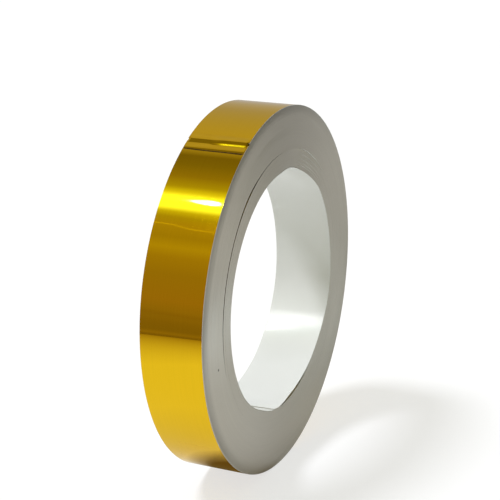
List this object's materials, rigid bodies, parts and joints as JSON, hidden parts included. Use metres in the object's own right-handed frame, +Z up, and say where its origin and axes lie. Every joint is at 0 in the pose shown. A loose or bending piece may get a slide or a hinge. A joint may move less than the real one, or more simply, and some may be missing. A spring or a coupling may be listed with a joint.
{
  "type": "coreless coil of sign strip",
  "caption": "Coreless coil of pre-finished aluminium sign strip with a mirror gold face, a white back and bare slit edges, standing on its rim.",
  "frame": {"origin": "centre of the coil's hole, halfway across the strip's width", "axes": "+Y along the coil's axis, away from the front side face; +Z up as the coil stands on its rim"},
  "size_m": [0.3563, 0.0617, 0.3566],
  "materials": {
    "gold_face": "mirror gold",
    "white_back": "gloss white coat",
    "slit_edges": "satin, slit edges of many turns",
    "tape": "clear film tape"
  },
  "bodies": {
    "coil": {"main_wraps": "slit_edges", "outer_wraps": "slit_edges", "outer_turn": "gold_face"},
    "fifth_pack": {"fifth_wraps": "slit_edges"},
    "fourth_pack": {"fourth_wraps": "slit_edges"},
    "third_pack": {"third_wraps": "slit_edges"},
    "second_pack": {"second_wraps": "slit_edges"},
    "bore_pack": {"bore_wraps": "slit_edges", "inner_turn": "white_back"},
    "inner_flap_1": {"inner_end_span_1": "white_back"},
    "inner_flap_2": {"inner_end_span_2": "white_back"},
    "inner_flap_3": {"inner_end_span_3": "white_back"},
    "tail_1": {"tail_span_1": "gold_face"},
    "tail_2": {"tail_span_2": "gold_face"},
    "tail_3": {"tail_span_3": "gold_face"},
    "tail_4": {"tail_span_4": "gold_face"},
    "tail_5": {"tail_span_5": "gold_face"},
    "tail_6": {"tail_span_6": "gold_face", "holding_tape": "tape"}
  },
  "joints": [
    {"name": "fifth_slip", "type": "slide", "parent": "coil", "child": "fifth_pack", "axis": [0, 1, 0], "range_m": [-0.004, 0.004]},
    {"name": "fourth_slip", "type": "slide", "parent": "fifth_pack", "child": "fourth_pack", "axis": [0, 1, 0], "range_m": [-0.004, 0.004]},
    {"name": "third_slip", "type": "slide", "parent": "fourth_pack", "child": "third_pack", "axis": [0, 1, 0], "range_m": [-0.004, 0.004]},
    {"name": "second_slip", "type": "slide", "parent": "third_pack", "child": "second_pack", "axis": [0, 1, 0], "range_m": [-0.004, 0.004]},
    {"name": "bore_slip", "type": "slide", "parent": "second_pack", "child": "bore_pack", "axis": [0, 1, 0], "range_m": [-0.004, 0.004]},
    {"name": "tail_bend_1", "type": "hinge", "parent": "coil", "child": "tail_1", "pos_m": [0.09714, 0, 0.14968], "axis": [0, 1, 0], "range_deg": [0, 10]},
    {"name": "tail_bend_2", "type": "hinge", "parent": "tail_1", "child": "tail_2", "pos_m": [0.06969, 0, 0.16427], "axis": [0, 1, 0], "range_deg": [0, 10]},
    {"name": "tail_bend_3", "type": "hinge", "parent": "tail_2", "child": "tail_3", "pos_m": [0.04013, 0, 0.17387], "axis": [0, 1, 0], "range_deg": [0, 10]},
    {"name": "tail_bend_4", "type": "hinge", "parent": "tail_3", "child": "tail_4", "pos_m": [0.00932, 0, 0.1782], "axis": [0, 1, 0], "range_deg": [0, 10]},
    {"name": "tail_bend_5", "type": "hinge", "parent": "tail_4", "child": "tail_5", "pos_m": [-0.02179, 0, 0.17712], "axis": [0, 1, 0], "range_deg": [0, 10]},
    {"name": "tail_bend_6", "type": "hinge", "parent": "tail_5", "child": "tail_6", "pos_m": [-0.05223, 0, 0.17064], "axis": [0, 1, 0], "range_deg": [0, 10]},
    {"name": "inner_bend_1", "type": "hinge", "parent": "bore_pack", "child": "inner_flap_1", "pos_m": [0.06948, 0, -0.09907], "axis": [0, 1, 0], "range_deg": [0, 6]},
    {"name": "inner_bend_2", "type": "hinge", "parent": "inner_flap_1", "child": "inner_flap_2", "pos_m": [0.04144, 0, -0.11367], "axis": [0, 1, 0], "range_deg": [0, 6]},
    {"name": "inner_bend_3", "type": "hinge", "parent": "inner_flap_2", "child": "inner_flap_3", "pos_m": [0.01058, 0, -0.12051], "axis": [0, 1, 0], "range_deg": [0, 6]}
  ],
  "couplings": [
    {"joint": "fourth_slip", "follows": "fifth_slip", "ratio": 1},
    {"joint": "third_slip", "follows": "fifth_slip", "ratio": 1},
    {"joint": "second_slip", "follows": "fifth_slip", "ratio": 1},
    {"joint": "bore_slip", "follows": "fifth_slip", "ratio": 1},
    {"joint": "tail_bend_2", "follows": "tail_bend_1", "ratio": 1},
    {"joint": "tail_bend_3", "follows": "tail_bend_1", "ratio": 1},
    {"joint": "tail_bend_4", "follows": "tail_bend_1", "ratio": 1},
    {"joint": "tail_bend_5", "follows": "tail_bend_1", "ratio": 1},
    {"joint": "tail_bend_6", "follows": "tail_bend_1", "ratio": 1},
    {"joint": "inner_bend_2", "follows": "inner_bend_1", "ratio": 1},
    {"joint": "inner_bend_3", "follows": "inner_bend_1", "ratio": 1}
  ]
}
